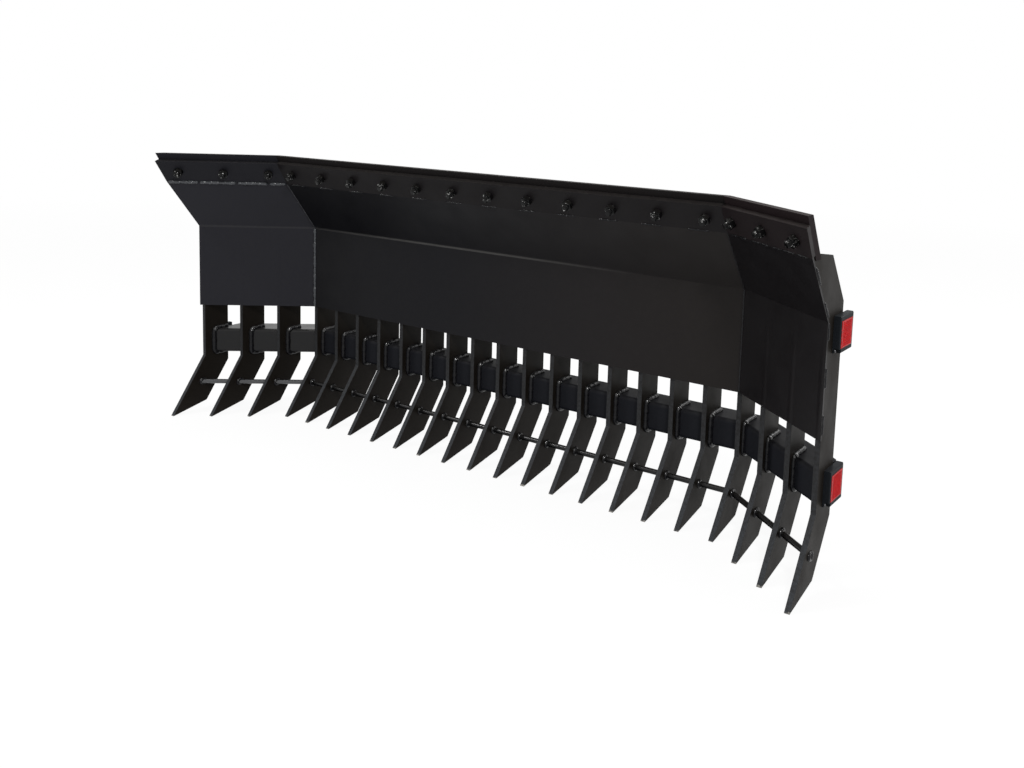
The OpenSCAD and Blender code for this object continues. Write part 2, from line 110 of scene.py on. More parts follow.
def black_enamel(name, colour="#0b0b0d", roughness=0.34, gloss=0.28, wave_depth=mm(0.25)):
    """Synthetic machine enamel, sprayed on steel: a dark satin with orange peel and a film of workshop dust.

    The steel under it is never quite flat, so the wide reflections bend. Returns the material and the parts
    that a caller may build on.
    """
    material, tree, shader, where = new_material(name)
    shader.inputs["IOR"].default_value = 1.45
    # Polished enamel is at 0.5. A thin, dry coat gives back less, and one that has pooled gives back more.
    shader.inputs["Specular IOR Level"].default_value = gloss

    # Orange peel is about 1.5 mm across. It is drawn at 5 mm, so that it shows from a few metres away.
    peel = add_node(tree, "ShaderNodeTexNoise", {"Scale": 1 / mm(5), "Detail": 1.0}, {"Vector": where})
    # Plate that has been rolled, cut and welded waves by up to a millimetre over a hand's span.
    waves = add_node(tree, "ShaderNodeTexNoise", {"Scale": 1 / mm(160), "Detail": 1.0}, {"Vector": where})
    peel_bump = add_node(
        tree, "ShaderNodeBump", {"Strength": 0.5, "Distance": mm(0.06)}, {"Height": peel.outputs[0]},
    )
    wave_bump = add_node(
        tree, "ShaderNodeBump", {"Strength": 1.0, "Distance": wave_depth},
        {"Height": waves.outputs[0], "Normal": peel_bump.outputs[0]},
    )
    tree.links.new(wave_bump.outputs[0], shader.inputs["Normal"])

    # Dry spray and handling leave patches a little duller than the rest.
    patches = add_node(tree, "ShaderNodeTexNoise", {"Scale": 1 / mm(70), "Detail": 4.0}, {"Vector": where})
    dulled = add_node(
        tree, "ShaderNodeMapRange",
        {"From Min": 0.3, "From Max": 0.7, "To Min": roughness - 0.05, "To Max": roughness + 0.09},
        {"Value": patches.outputs[0]},
    )
    tree.links.new(dulled.outputs[0], shader.inputs["Roughness"])

    # Dust settles on faces that look up, thinly and in specks.
    surface = add_node(tree, "ShaderNodeNewGeometry")
    facing = add_node(tree, "ShaderNodeSeparateXYZ", links={0: surface.outputs["Normal"]})
    specks = add_node(tree, "ShaderNodeTexNoise", {"Scale": 1 / mm(12), "Detail": 5.0}, {"Vector": where})
    dust = add_node(
        tree, "ShaderNodeMath", {"operation": "MULTIPLY_ADD", 1: 0.08, 2: 0.015, "use_clamp": True},
        {0: facing.outputs["Z"]},
    )
    dust = add_node(
        tree, "ShaderNodeMath", {"operation": "MULTIPLY"}, {0: dust.outputs[0], 1: specks.outputs[0]},
    )
    skin = add_node(
        tree, "ShaderNodeMix", {"data_type": "RGBA", 6: linear(colour), 7: linear("#6f6a62")},
        {0: dust.outputs[0]},
    )
    tree.links.new(skin.outputs[2], shader.inputs["Base Color"])
    return material, tree, shader, where, skin


def dress(node_name, material):
    """Puts a material in every slot of a CAD node."""
    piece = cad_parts[node_name]
    if not piece.material_slots:
        piece.data.materials.append(material)
    for each in piece.material_slots:
        each.material = material


# The points have been set down on concrete, which has rubbed the last few millimetres through to steel.
tine_enamel, tree, shader, where, skin = black_enamel(
    "black_enamel_on_flame_cut_tine", colour="#171411", roughness=0.44, gloss=0.07, wave_depth=mm(0.9),
)
position = add_node(tree, "ShaderNodeSeparateXYZ", links={0: where})
nicks = add_node(tree, "ShaderNodeTexNoise", {"Scale": 1 / mm(6), "Detail": 4.0}, {"Vector": where})
ragged = add_node(
    tree, "ShaderNodeMath", {"operation": "MULTIPLY_ADD", 1: mm(16)},
    {0: nicks.outputs[0], 2: position.outputs["Z"]},
)
worn = add_node(
    tree, "ShaderNodeMapRange",
    {"From Min": -TIPS_TO_HITCH + mm(11), "From Max": -TIPS_TO_HITCH + mm(9), "To Min": 0.0, "To Max": 1.0},
    {"Value": ragged.outputs[0]},
)
# The edges that look forward get a grey line, palest near the points. It is partly scuffs from work
# and partly a painted highlight where these edges catch the light.
surface = add_node(tree, "ShaderNodeNewGeometry")
facing = add_node(tree, "ShaderNodeSeparateXYZ", links={0: surface.outputs["Normal"]})
forward_edge = add_node(
    tree, "ShaderNodeMapRange", {"From Min": -0.6, "From Max": -0.75, "To Min": 0.0, "To Max": 1.0},
    {"Value": facing.outputs["Y"]},
)
scuffs = add_node(
    tree, "ShaderNodeMapRange", {"From Min": 0.35, "From Max": 0.65, "To Min": 0.4, "To Max": 0.75},
    {"Value": nicks.outputs[0]},
)
reach = add_node(
    tree, "ShaderNodeMapRange",
    {"From Min": KNEE_HEIGHT - TIPS_TO_HITCH + mm(60), "From Max": mm(30) - TIPS_TO_HITCH,
     "To Min": 0.55, "To Max": 1.0},
    {"Value": position.outputs["Z"]},
)
scuff_and_painted_highlight = add_node(
    tree, "ShaderNodeMath", {"operation": "MULTIPLY"}, {0: forward_edge.outputs[0], 1: scuffs.outputs[0]},
)
scuff_and_painted_highlight = add_node(
    tree, "ShaderNodeMath", {"operation": "MULTIPLY"}, {0: scuff_and_painted_highlight.outputs[0], 1: reach.outputs[0]},
)
# The grey mixed in here is part scuff and part painted highlight.
dulled = add_node(
    tree, "ShaderNodeMix", {"data_type": "RGBA", 7: linear("#3c3f43")},
    {0: scuff_and_painted_highlight.outputs[0], 6: skin.outputs[2]},
)
bared = add_node(
    tree, "ShaderNodeMix", {"data_type": "RGBA", 7: linear("#6d6b67")},
    {0: worn.outputs[0], 6: dulled.outputs[2]},
)
tree.links.new(bared.outputs[2], shader.inputs["Base Color"])
tree.links.new(worn.outputs[0], shader.inputs["Metallic"])
for i in range(len(tine_xs)):
    dress(f"tine_{i + 1:02d}", tine_enamel)

# Crossbar
#
# A 90 by 75 mm tube runs through every tine but the end ones, mitred at the folds and sprayed with the rest.
# A fillet weld, laid with a wire gun, follows it on every face of a tine that it meets.

TUBE_RISE = 0.075
TUBE_CORNER = 0.010
TUBE_BACK = 0.030
TUBE_HEIGHT = 0.174

# The left length has a glossy copy of the enamel, and the other two a nearly matt, paler copy. These
# are lit and shaded copies of one enamel: painted light, for how differently the light falls on them.
glossy_tube_copy, *_ = black_enamel("glossy_copy_of_black_enamel_on_tube", roughness=0.27, gloss=0.3)
matt_tube_copy, *_ = black_enamel("matt_paler_copy_of_black_enamel_on_tube", colour="#191a1e", roughness=0.4, gloss=0.02)
for side, enamel in (("centre", matt_tube_copy), ("right", matt_tube_copy), ("left", glossy_tube_copy)):
    dress(f"{side}_crossbar", enamel)

# Enamel levels itself on a rounded bead, so it is smoother there and catches points of light.
weld_enamel, *_ = black_enamel("black_enamel_on_weld_beads", colour="#121215", roughness=0.18, gloss=0.2)


def make_piece(name, points, faces, material):
    """One mesh, finished with the given material, that rides on the rake's only body."""
    mesh = bpy.data.meshes.new(name)
    mesh.from_pydata(points, [], faces)
    mesh.materials.append(material)
    piece = bpy.data.objects.new(name, mesh)
    bpy.context.scene.collection.objects.link(piece)
    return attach(piece, "root")


class Beads:
    """Weld beads laid one after another into one mesh."""

    def __init__(self, name, seed):
        self.name, self.points, self.faces = name, [], []
        self.tremor = random.Random(seed)

    def lay(self, path, outward, radius, closed=False, ripple=mm(5), depth=0.16, lumps=0.08):
        """Lays a bead along path. outward gives, for each point, the direction that the bead swells towards.

        Real ripples are 2 mm apart. They are drawn 5 mm apart or more, so that they show, and depth is how
        much each one swells. lumps is how much the bead's thickness follows the welder's unsteady hand.
        """
        around = 8
        count = len(path)
        start = len(self.points)
        run = 0.0
        phase = self.tremor.uniform(0, math.tau)
        for i, point in enumerate(path):
            before = path[i - 1] if closed or i else path[0]
            after = path[(i + 1) % count] if closed or i + 1 < count else path[-1]
            along = (after - before).normalized()
            out = (outward[i] - along * outward[i].dot(along)).normalized()
            cross = along.cross(out)
            run += (point - path[i - 1]).length if i else 0.0
            beat = 1.0 - (run / ripple % 1.0)
            # The hand sways in two waves, about 48 and 20 mm long.
            sway = lumps * (math.sin(run * 130 + phase) + math.sin(run * 310 + 2 * phase)) / 1.5
            size = radius * (1 - depth + depth * beat + sway + self.tremor.uniform(-0.03, 0.03))
            if not closed:
                # A bead starts and stops thin.
                size *= min(1.0, 0.35 + 0.3 * min(i, count - 1 - i))
            for k in range(around):
                turn = math.tau * k / around
                self.points.append(point + out * (size * math.cos(turn)) + cross * (size * math.sin(turn)))
        for i in range(count if closed else count - 1):
            here, there = start + i * around, start + (i + 1) % count * around
            for k in range(around):
                right = (k + 1) % around
                self.faces.append((here + k, here + right, there + right, there + k))
        if not closed:
            self.faces.append(tuple(reversed(range(start, start + around))))
            self.faces.append(tuple(range(start + (count - 1) * around, start + count * around)))

    def done(self, material):
        piece = make_piece(self.name, self.points, self.faces, material)
        piece.data.shade_smooth()


BEAD_STEP = mm(1.6)


def walk(*corners):
    """Points every BEAD_STEP along the straight lines between corners."""
    points = [corners[0]]
    for a, b in zip(corners, corners[1:]):
        steps = max(1, round((b - a).length / BEAD_STEP))
        points += [a.lerp(b, k / steps) for k in range(1, steps + 1)]
    return points


def faces_of(x):
    """The two faces of the tine at x: where each one is and which way it looks."""
    return [(x + side * TINE_THICKNESS / 2, side) for side in (-1, 1)]


def stretch_at(x):
    """How many times longer a run's section is in a tine's face, which a wing's run meets aslant."""
    return 1 / math.cos(WING_ANGLE) if abs(x) > FOLD_X else 1.0


def tine_back_at(x):
    """How far behind the section's zero the back edge of the tine at x lies, on either face."""
    tine_x = round(x / TINE_PITCH) * TINE_PITCH
    return TINE_BACK + (place(tine_x, 0, 0) - place(x, 0, 0)).y


def round_tube(x, side):
    """The line where the tube meets a tine's face, with directions away from both."""
    stretch = stretch_at(x)
    bottom, top = TUBE_HEIGHT, TUBE_HEIGHT + TUBE_RISE
    rear = tine_back_at(x)
    # Each entry is a place in the section, and the direction away from the tube there.
    outline = [((rear, bottom), (0, -1))]
    corner_steps = 8
    for centre_height, first in ((bottom + TUBE_CORNER, -90), (top - TUBE_CORNER, -180)):
        for k in range(corner_steps + 1):
            turn = math.radians(first - 90 * k / corner_steps)
            back = TUBE_BACK + TUBE_CORNER * stretch * (1 + math.cos(turn))
            height = centre_height + TUBE_CORNER * math.sin(turn)
            outline.append(((back, height), (math.cos(turn), math.sin(turn))))
    outline.append(((rear, top), (0, 1)))
    path, outward = [], []
    for (start, start_out), (end, end_out) in zip(outline, outline[1:]):
        steps = max(1, round(math.hypot(end[0] - start[0], end[1] - start[1]) / BEAD_STEP))
        for k in range(steps):
            share = k / steps
            back, height = (a + (b - a) * share for a, b in zip(start, end))
            out_back, out_up = (a + (b - a) * share for a, b in zip(start_out, end_out))
            path.append(place(x, back, height))
            outward.append(Vector((side, out_back, out_up)))
    return path, outward


# Each bead is thickest over the upper front corner, where two runs meet. The enamel pooled there and shines.
crest_enamel, *_ = black_enamel(
    "black_enamel_pooled_on_weld_crests", colour="#0c0c0e", roughness=0.08, gloss=1.0,
)


def crest_of(path, outward):
    """The stretch of a bead's path that looks both up and forward."""
    stretch = [(p, o) for p, o in zip(path, outward) if o.z > 0.1 and o.y < -0.1]
    return [p for p, o in stretch], [o for p, o in stretch]


CROSSBAR_BEAD = 0.0085
CROSSBAR_CREST = 0.0105
CROSSBAR_BEAD_SEAT = 0.0015

crossbar_welds = Beads("crossbar_welds", seed=11)
crossbar_crests = Beads("crossbar_weld_crests", seed=17)
for x in tine_xs:
    for face_x, side in faces_of(x):
        # The tube stops against the end tines' inner faces, so their outer faces have no weld.
        if abs(face_x) > END_TINE:
            continue
        path, outward = round_tube(face_x, side)
        seated = [p + o.normalized() * CROSSBAR_BEAD_SEAT for p, o in zip(path, outward)]
        crossbar_welds.lay(seated, outward, CROSSBAR_BEAD, ripple=mm(6), depth=0.05, lumps=0.07)
        crossbar_crests.lay(*crest_of(seated, outward), CROSSBAR_CREST, ripple=mm(7), depth=0.1)
crossbar_welds.done(weld_enamel)
crossbar_crests.done(crest_enamel)

# Tie bar
#
# A 14 mm round bar is threaded through the tines near their points and holds them apart.
# It is tacked with a ring of weld on each face, and its two ends show in the end tines' outer faces.
# On the left wing the bar's enamel is lighter and glossier: a painted sheen for the highlight along it.

TIE_DIAMETER = 0.014
TIE_BACK = -0.015
TIE_HEIGHT = 0.088
TIE_BEAD = 0.005
TIE_CREST = 0.007
TIE_BEAD_STEPS = 36

# The left length's paler colour is a painted sheen.
left_tie_enamel_with_painted_sheen, *_ = black_enamel(
    "black_enamel_with_painted_sheen_on_round_bar", colour="#26282c", roughness=0.16, gloss=1.0,
)
tie_enamel, *_ = black_enamel("black_enamel_on_round_bar", roughness=0.25, gloss=0.3)
for side, enamel in (("centre", tie_enamel), ("right", tie_enamel), ("left", left_tie_enamel_with_painted_sheen)):
    dress(f"{side}_tie_bar", enamel)

tie_welds = Beads("tie_bar_welds", seed=12)
tie_crests = Beads("tie_bar_weld_crests", seed=18)
for x in tine_xs:
    for face_x, side in faces_of(x):
        path, outward = [], []
        for k in range(TIE_BEAD_STEPS):
            turn = math.tau * k / TIE_BEAD_STEPS
            back = TIE_BACK + TIE_DIAMETER / 2 * stretch_at(face_x) * math.cos(turn)
            height = TIE_HEIGHT + TIE_DIAMETER / 2 * math.sin(turn)
            path.append(place(face_x, back, height))
            outward.append(Vector((side, math.cos(turn), math.sin(turn))))
        tie_welds.lay(path, outward, TIE_BEAD, closed=True, depth=0.08, lumps=0.2)
        if abs(face_x) < END_TINE:
            tie_crests.lay(*crest_of(path, outward), TIE_CREST, ripple=mm(7), depth=0.1)
tie_welds.done(weld_enamel)
tie_crests.done(crest_enamel)

# Mouldboard
#
# Three 5 mm plates, each pressed to a bend, stand in front of the tines and are welded to them from behind.
# The wings are butt welded to the centre along each fold. The welds' heat pulls faint ribs in front.

BOARD_THICKNESS = 0.005
BOARD_BOTTOM = 0.330
BOARD_BEND = 0.580
BOARD_TOP = 0.724
BOARD_REACH = 0.114

board_enamel, tree, shader, where, skin = black_enamel(
    "black_enamel_on_pressed_plate", roughness=0.34, gloss=0.11, wave_depth=mm(0.5),
)
position = add_node(tree, "ShaderNodeSeparateXYZ", links={0: where})
# The enamel's tone across the rake is painted light and shade: paler on the left wing and darker on the
# right wing, as the light falls on them. Each colour is given with how far across the rake it holds.
light_and_shade_across = [(-FOLD_X - mm(4), "#1f1f24"), (-FOLD_X, "#08080c"), (-0.2, "#0d0d11"), (0.3, "#181617"),
          (FOLD_X - mm(4), "#1b1817"), (FOLD_X, "#0f0d0f")]
# The ramp runs across the rake from 1 m left to 1 m right.
share = add_node(
    tree, "ShaderNodeMapRange", {"From Min": -1.0, "From Max": 1.0}, {"Value": position.outputs["X"]},
)
painted_light_ramp = add_node(tree, "ShaderNodeValToRGB", links={0: share.outputs[0]})
# A new ramp has two stops already.
stops = painted_light_ramp.color_ramp.elements
for i, (x, colour) in enumerate(light_and_shade_across):
    along_ramp = (x + 1) / 2
    stop = stops[i] if i < 2 else stops.new(along_ramp)
    stop.position = along_ramp
    stop.color = linear(colour)
tree.links.new(painted_light_ramp.outputs[0], skin.inputs[6])
from_tine = add_node(
    tree, "ShaderNodeMath", {"operation": "PINGPONG", 1: TINE_PITCH / 2}, {0: position.outputs["X"]},
)
rib = add_node(
    tree, "ShaderNodeMapRange",
    {"interpolation_type": "SMOOTHSTEP", "From Min": 0.0, "From Max": mm(10), "To Min": 1.0, "To Max": 0.0},
    {"Value": from_tine.outputs[0]},
)
# The ribs are strongest at the wings, whose welds were the last, and fade out towards the bend.
from_middle = add_node(tree, "ShaderNodeMath", {"operation": "ABSOLUTE"}, {0: position.outputs["X"]})
on_wing = add_node(
    tree, "ShaderNodeMapRange",
    {"From Min": FOLD_X, "From Max": FOLD_X + mm(30), "To Min": 0.12, "To Max": 1.0},
    {"Value": from_middle.outputs[0]},
)
below_bend = add_node(
    tree, "ShaderNodeMapRange",
    {"From Min": BOARD_BEND - TIPS_TO_HITCH, "From Max": BOARD_BEND - TIPS_TO_HITCH - mm(120),
     "To Min": 0.0, "To Max": 1.0},
    {"Value": position.outputs["Z"]},
)
pull = add_node(
    tree, "ShaderNodeMath", {"operation": "MULTIPLY"}, {0: on_wing.outputs[0], 1: below_bend.outputs[0]},
)
rib = add_node(tree, "ShaderNodeMath", {"operation": "MULTIPLY"}, {0: rib.outputs[0], 1: pull.outputs[0]})
rib_bump = add_node(
    tree, "ShaderNodeBump", {"Strength": 1.0, "Distance": mm(0.5)},
    {"Height": rib.outputs[0], "Normal": shader.inputs["Normal"].links[0].from_socket},
)
tree.links.new(rib_bump.outputs[0], shader.inputs["Normal"])
# A paler line is painted along the bend, most of all left of the middle: a painted highlight where the
# round of the pressed bend catches the light.
above_bend = add_node(
    tree, "ShaderNodeMath", {"operation": "SUBTRACT", 1: BOARD_BEND - TIPS_TO_HITCH},
    {0: position.outputs["Z"]},
)
from_bend = add_node(tree, "ShaderNodeMath", {"operation": "ABSOLUTE"}, {0: above_bend.outputs[0]})
in_bend = add_node(
    tree, "ShaderNodeMapRange",
    {"interpolation_type": "SMOOTHSTEP", "From Min": mm(1), "From Max": mm(5), "To Min": 0.75, "To Max": 0.0},
    {"Value": from_bend.outputs[0]},
)
rising = add_node(
    tree, "ShaderNodeMapRange", {"From Min": -FOLD_X, "From Max": -0.3, "To Min": 0.15, "To Max": 0.6},
    {"Value": position.outputs["X"]},
)
dying = add_node(
    tree, "ShaderNodeMapRange", {"From Min": 0.0, "From Max": 0.45, "To Min": 1.0, "To Max": 0.0},
    {"Value": position.outputs["X"]},
)
bend_highlight_spread = add_node(
    tree, "ShaderNodeMath", {"operation": "MULTIPLY"}, {0: rising.outputs[0], 1: dying.outputs[0]},
)
bend_highlight = add_node(
    tree, "ShaderNodeMath", {"operation": "MULTIPLY"}, {0: in_bend.outputs[0], 1: bend_highlight_spread.outputs[0]},
)
with_bend_highlight = add_node(
    tree, "ShaderNodeMix", {"data_type": "RGBA", 7: linear("#5a5957")},
    {0: bend_highlight.outputs[0], 6: skin.outputs[2]},
)
tree.links.new(with_bend_highlight.outputs[2], shader.inputs["Base Color"])
for side in ("centre", "right", "left"):
    dress(f"{side}_mouldboard", board_enamel)

# The left wing's beads get a grey enamel: a painted highlight where they catch the light.
grey_weld_enamel_painted_highlight, *_ = black_enamel(
    "grey_enamel_painted_highlight_on_beads", colour="#34363a", roughness=0.2, gloss=0.5,
)
ground = mm(1.2)
for hand, name, as_laid, enamel in (
    (-1, "left_seam_weld", mm(5), grey_weld_enamel_painted_highlight),
    (1, "right_seam_weld", mm(3), weld_enamel),
):
    seam_welds = Beads(name, seed=13)
    into = Vector((-hand * math.sin(WING_ANGLE / 2), -math.cos(WING_ANGLE / 2), 0))
    # The bead is left as laid below the bend, and above it is ground almost flush.
    for low, high, radius in (
        ((0, BOARD_BOTTOM), (0, BOARD_BEND), as_laid),
        ((0, BOARD_BEND), (-BOARD_REACH, BOARD_TOP), ground),
    ):
        path = walk(place(hand * FOLD_X, *low), place(hand * FOLD_X, *high))
        seam_welds.lay(path, [into] * len(path), radius, ripple=mm(9), lumps=0.22)
    seam_welds.done(enamel)


def board_back(height):
    """How far back the rear face of the mouldboard is at a height."""
    lean = BOARD_REACH / (BOARD_TOP - BOARD_BEND)
    bend = BOARD_BEND + BOARD_THICKNESS * math.tan(math.atan(lean) / 2)
    return BOARD_THICKNESS - max(0.0, height - bend) * lean


# Each run of weld between a tine and the plate goes from one height to another, in millimetres.
TINE_RUNS = ((340, 385), (440, 485), (540, 578), (590, 625), (665, 705))
TINE_BEAD = 0.0045

tine_welds = Beads("tine_to_mouldboard_welds", seed=14)
for x in tine_xs:
    for face_x, side in faces_of(x):
        # A wing's plate is cut aslant by the tine's face, so it is thicker there from front to back.
        added = BOARD_THICKNESS * (stretch_at(face_x) - 1)
        for low, high in TINE_RUNS:
            path = walk(place(face_x, board_back(mm(low)) + added, mm(low)),
                        place(face_x, board_back(mm(high)) + added, mm(high)))
            tine_welds.lay(path, [Vector((side, 1, 0))] * len(path), TINE_BEAD)
tine_welds.done(weld_enamel)

# Mounting bar and blade
#
# A 12 mm flat bar is stitch welded along the mouldboard's top edge. A 20 mm blade is bolted behind it and
# stands above it, so the rake can be turned over to cut or backdrag. Both are sprayed black.

BAR_RISE = 0.063
BAR_THICKNESS = 0.012
BAR_LEAN = math.radians(32.4)
BLADE_THICKNESS = 0.020
STITCH_TILT = math.radians(35)

# Enamel from one can to the next isn't quite one black: it is coldest on the left and warmest on the right.
for side, can, bar_colour, blade_colour in (
    ("left", "cold", "#1a1a1e", "#1f1f23"),
    ("centre", "plain", "#161415", "#1b1919"),
    ("right", "warm", "#1a1516", "#1e1819"),
):
    bar_enamel, *_ = black_enamel(
        f"{can}_black_enamel_on_flat_bar", colour=bar_colour, roughness=0.42, gloss=0.09,
    )
    blade_enamel, *_ = black_enamel(
        f"{can}_black_enamel_on_rolled_blade", colour=blade_colour, roughness=0.5, gloss=0.02,
    )
    dress(f"{side}_mounting_bar", bar_enamel)
    dress(f"{side}_blade", blade_enamel)

downward = Vector((0, -math.cos(STITCH_TILT), -math.sin(STITCH_TILT)))
# Each stitch goes from one place across the rake to another, in millimetres.
left_stitches = [(-994, -925), (-922, -838), (-834, -764), (-760, -722)]
other_stitches = [(start, start + 55) for start in range(-700, 660, 120)]
other_stitches += [(735, 790), (805, 865), (880, 945), (955, 985)]
for name, stitches, radius, enamel in (
    # The left wing's stitches take the grey enamel, which is a painted highlight.
    ("left_wing_stitch_welds", left_stitches, mm(5.6), grey_weld_enamel_painted_highlight),
    ("stitch_welds", other_stitches, mm(2.4), weld_enamel),
):
    stitch_welds = Beads(name, seed=15)
    for start, end in stitches:
        path = walk(place(mm(start), -BOARD_REACH, BOARD_TOP), place(mm(end), -BOARD_REACH, BOARD_TOP))
        stitch_welds.lay(path, [downward] * len(path), radius, ripple=mm(10), lumps=0.16)
    stitch_welds.done(enamel)

# Blade bolts and nuts
#
# Eighteen M16 plough bolts hold the blade. Their heads lie flush in its rear face, and hex nuts with the
# bolts' ends show in front. They were sprayed with the rake, and the wrench has chipped a few corners bare.

BOLT_RADIUS = 0.008
THREAD_PITCH = 0.002
THREAD_DEPTH = 0.0009
NUT_FLATS = 0.024
NUT_HEIGHT = 0.013
STUD_PAST_NUT = 0.010
HEAD_RADIUS = 0.015
HEAD_DEPTH = 0.009
HEAD_LAND = 0.0006
END_BEVEL = 0.001
NUT_CHAMFER = 0.0005
GRIP = BAR_THICKNESS + BLADE_THICKNESS
CENTRE_BOLTS = 12
OUTER_CENTRE_BOLT = 0.674
WING_BOLTS = (0.031, 0.1345, 0.238)

bolt_enamel, tree, shader, where, skin = black_enamel(
    "black_enamel_chipped_on_bolts_and_nuts", colour="#0a0a0b", roughness=0.1, gloss=0.15,
)
chips = add_node(tree, "ShaderNodeTexNoise", {"Scale": 1 / mm(6), "Detail": 3.0}, {"Vector": where})
bare = add_node(
    tree, "ShaderNodeMapRange", {"From Min": 0.63, "From Max": 0.66, "To Min": 0.0, "To Max": 1.0},
    {"Value": chips.outputs[0]},
)
tone = add_node(
    tree, "ShaderNodeMix", {"data_type": "RGBA", 7: linear("#9c9c9a")},
    {0: bare.outputs[0], 6: skin.outputs[2]},
)
tree.links.new(tone.outputs[2], shader.inputs["Base Color"])
tree.links.new(bare.outputs[0], shader.inputs["Metallic"])


def bolt_seats():
    """For each bolt, where its axis meets the bar's front face, and the way it points."""
    middle = BAR_RISE / 2
    seats = []
    for i in range(CENTRE_BOLTS):
        x = OUTER_CENTRE_BOLT * (2 * i / (CENTRE_BOLTS - 1) - 1)
        seats.append((x, Vector((0, -math.cos(BAR_LEAN), -math.sin(BAR_LEAN)))))
    lean = math.atan(math.tan(BAR_LEAN) * math.cos(WING_ANGLE))
    for hand in (-1, 1):
        for along in WING_BOLTS:
            ahead = Vector((-hand * math.sin(WING_ANGLE), -math.cos(WING_ANGLE), 0))
            seats.append((hand * (FOLD_X + along), ahead * math.cos(lean) - Vector((0, 0, math.sin(lean)))))
    forward = -BOARD_REACH - middle * math.tan(BAR_LEAN)
    return [(place(x, forward, BOARD_TOP + middle), way) for x, way in seats]


def ring_solid(name, rings, seats, material):
    """One mesh with a copy, at each seat, of the closed skin that joins rings of (x, y, z) points."""
    around = len(rings[0])
    points, faces = [], []
    for seat, way in seats:
        turn = way.to_track_quat("Z", "Y").to_matrix()
        start = len(points)
        for ring in rings:
            points += [seat + turn @ Vector(p) for p in ring]
        for r in range(len(rings) - 1):
            for k in range(around):
                a, b = start + r * around, start + (r + 1) * around
                faces.append((a + k, a + (k + 1) % around, b + (k + 1) % around, b + k))
        faces.append(tuple(reversed(range(start, start + around))))
        faces.append(tuple(range(start + (len(rings) - 1) * around, start + len(rings) * around)))
    piece = make_piece(name, points, faces, material)
    piece.data.shade_smooth()
    piece.data.set_sharp_from_angle(angle=math.radians(32))
    return piece


# Every ring of a bolt, a nut or a screw has 48 points.
RING_TURNS = [math.tau * k / 48 for k in range(48)]


def circle(radius, z):
    return [(radius * math.cos(turn), radius * math.sin(turn), z) for turn in RING_TURNS]


bolt_rings = [circle(HEAD_RADIUS - HEAD_LAND, -GRIP), circle(HEAD_RADIUS, -GRIP + HEAD_LAND),
              circle(BOLT_RADIUS, -GRIP + HEAD_DEPTH)]
thread_top = NUT_HEIGHT + STUD_PAST_NUT - END_BEVEL
rings_per_thread = 8
z = -mm(1)
while z < thread_top:
    thread = []
    for turn in RING_TURNS:
        groove = abs((z / THREAD_PITCH - turn / math.tau) % 1.0 - 0.5) * 2
        radius = BOLT_RADIUS - THREAD_DEPTH * groove
        thread.append((radius * math.cos(turn), radius * math.sin(turn), z))
    bolt_rings.append(thread)
    z += THREAD_PITCH / rings_per_thread
bolt_rings += [circle(BOLT_RADIUS - THREAD_DEPTH, thread_top),
               circle(BOLT_RADIUS - 2 * THREAD_DEPTH, thread_top + END_BEVEL)]
bolts = ring_solid("threaded_plough_bolts", bolt_rings, bolt_seats(), bolt_enamel)
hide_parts("blade_bolts")


def hexagon(flats, z, slope=0.0, first=math.pi / 6):
    """A six-sided ring. flats is its width from flat to flat, and first turns it about its axis.

    A slope lowers z towards the corners, as a turned bevel leaves them.
    """
    ring = []
    for turn in RING_TURNS:
        radius = flats / 2 / math.cos((turn + first) % (math.pi / 3) - math.pi / 6)
        drop = (radius - flats / 2 + NUT_CHAMFER) * slope
        ring.append((radius * math.cos(turn), radius * math.sin(turn), z - drop))
    return ring


# Turned bevels of 30 degrees top and bottom, and a countersink round the thread at each end
bevel = math.tan(math.radians(30))
nut_rings = [
    circle(BOLT_RADIUS, mm(0.4)),
    circle(NUT_FLATS / 2 - NUT_CHAMFER, 0),
    hexagon(NUT_FLATS, 0, slope=-bevel),
    hexagon(NUT_FLATS, NUT_HEIGHT, slope=bevel),
    circle(NUT_FLATS / 2 - NUT_CHAMFER, NUT_HEIGHT),
    circle(BOLT_RADIUS + mm(0.6), NUT_HEIGHT),
    circle(BOLT_RADIUS - mm(0.5), NUT_HEIGHT - mm(1)),
]
nuts = ring_solid("chamfered_hex_nuts", nut_rings, bolt_seats(), bolt_enamel)
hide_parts("blade_nuts")

# Lamps
#
# Two square red lamps are screwed to the outer face of each end tine. The housing is moulded black plastic
# and the lens is moulded acrylic with rows of small prisms, held in a pocket. One screw holds each lamp.

LAMP_SIDE = 0.079
LAMP_OUT = 0.015
LENS_SIDE = 0.055
LENS_PROUD = 0.001
LENS_POCKET = 0.008
LENS_FLANGE_ACROSS = 0.0045
LENS_FLANGE_UP = 0.0015
LENS_BEVEL_DEPTH = 0.0004
LENS_BEVEL_WIDTH = 0.0006
LENS_BORDER = 0.002
PRISM = 0.004
PRISM_DEPTH = 0.0011
LAMP_BACK = 0.036
LAMP_HEIGHTS = (0.176, 0.508)
END_FACE = END_TINE + TINE_THICKNESS / 2
SCREW_INSET = 0.0049
SCREW_SEAT = 0.004
SCREW_SOCKET = 0.0028
SCREW_SHANK_RADIUS = 0.002
SCREW_HEAD_RADIUS = 0.0035
SCREW_HEAD_HEIGHT = 0.003

housing_plastic, tree, shader, where = new_material("moulded_black_polypropylene")
